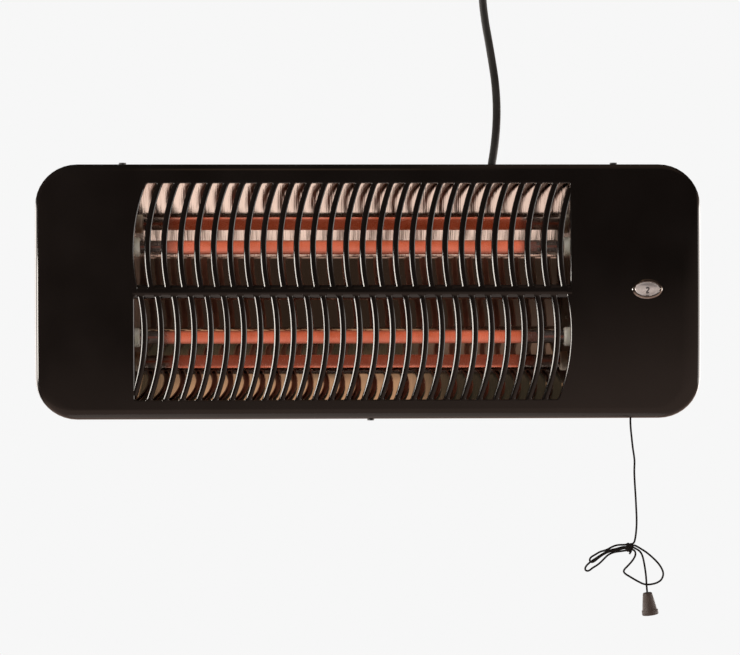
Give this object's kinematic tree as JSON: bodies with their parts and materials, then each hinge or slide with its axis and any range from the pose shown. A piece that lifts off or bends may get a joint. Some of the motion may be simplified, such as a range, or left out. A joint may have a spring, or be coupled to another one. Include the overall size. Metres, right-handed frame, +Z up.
{
  "type": "wall-hung electric bar heater",
  "caption": "Wall-hung electric bar heater with two quartz tubes behind a slotted black front, a tilting wall bracket, a pull-cord switch and a mains lead.",
  "frame": {"origin": "centre of the wall bracket's four screw holes, on the bracket's back face, which lies on the wall", "axes": "+Z up, -Y out of the wall towards the room, +X to the right as seen from the room"},
  "size_m": [0.613, 0.1156, 0.7253],
  "materials": {
    "black_enamel": "gloss",
    "black_casing": "satin",
    "bright_aluminium": "polished",
    "zinc_steel": "satin",
    "black_steel": "satin",
    "quartz_glass": "gloss",
    "glowing_element": "matte",
    "ceramic": "matte",
    "brass": "satin",
    "white_plastic": "matte",
    "black_plastic": "matte",
    "black_rubber": "matte",
    "wire_sleeve": "matte",
    "chrome": "gloss",
    "clear_lens": "gloss",
    "silver_plastic": "satin",
    "cord_fabric": "matte"
  },
  "bodies": {
    "bracket": {"wall_bracket": "black_steel", "mains_lead": "black_rubber", "mains_coil": "black_rubber", "coil_tie": "black_plastic", "plug_tail": "black_rubber", "plug_body": "black_rubber", "plug_pins": "chrome", "plug_earth": "brass"},
    "heater": {"front_panel": "black_enamel", "rear_casing": "black_casing", "casing_screws": "black_steel", "reflector_upper": "bright_aluminium", "reflector_lower": "bright_aluminium", "end_plate_left": "bright_aluminium", "end_plate_right": "bright_aluminium", "quartz_tube_upper": "quartz_glass", "quartz_tube_lower": "quartz_glass", "heating_coil_upper": "glowing_element", "heating_coil_lower": "glowing_element", "ceramic_caps_left": "ceramic", "ceramic_caps_right": "ceramic", "terminal_studs": "brass", "hinge_lugs": "black_steel", "lug_rivets": "zinc_steel", "pivot_bolts": "zinc_steel", "pivot_nuts": "zinc_steel", "pivot_washers": "black_rubber", "terminal_block": "white_plastic", "terminal_screws": "brass", "thermal_cutout": "zinc_steel", "internal_cable": "black_rubber", "internal_wires": "wire_sleeve", "cable_gland": "black_plastic", "strain_relief": "black_rubber", "cord_clamp": "white_plastic", "clamp_screws": "zinc_steel", "switch_housing": "black_plastic", "switch_module": "white_plastic", "drum_axle": "zinc_steel", "window_bezel": "chrome", "indicator_lens": "clear_lens", "cord_eyelet": "black_plastic"},
    "drum": {"indicator_drum": "silver_plastic"},
    "puller": {"pull_rod": "white_plastic", "return_spring": "zinc_steel", "pull_cord_inner": "cord_fabric"},
    "cord": {"pull_cord": "cord_fabric", "cord_knot": "cord_fabric", "pull_cord_bow": "cord_fabric", "pull_cord_drop": "cord_fabric", "pull_knob": "black_plastic"}
  },
  "joints": [
    {"name": "tilt", "type": "hinge", "parent": "bracket", "child": "heater", "pos_m": [0, -0.034, 0], "axis": [1, 0, 0], "range_deg": [0, 30]},
    {"name": "drum_turn", "type": "hinge", "parent": "heater", "child": "drum", "pos_m": [0.2559, -0.092, 0.0017], "axis": [1, 0, 0], "continuous": true},
    {"name": "pull", "type": "slide", "parent": "heater", "child": "puller", "axis": [0, 0, -1], "range_m": [0, 0.012], "stiffness_N_per_m": 250, "springref_m": -0.004, "deforming": ["return_spring"]},
    {"name": "cord_swing", "type": "hinge", "parent": "puller", "child": "cord", "pos_m": [0.2465, -0.072, -0.0923], "axis": [1, 0, 0], "range_deg": [-35, 5]}
  ],
  "couplings": [
    {"joint": "cord_swing", "follows": "tilt", "ratio": -1}
  ]
}
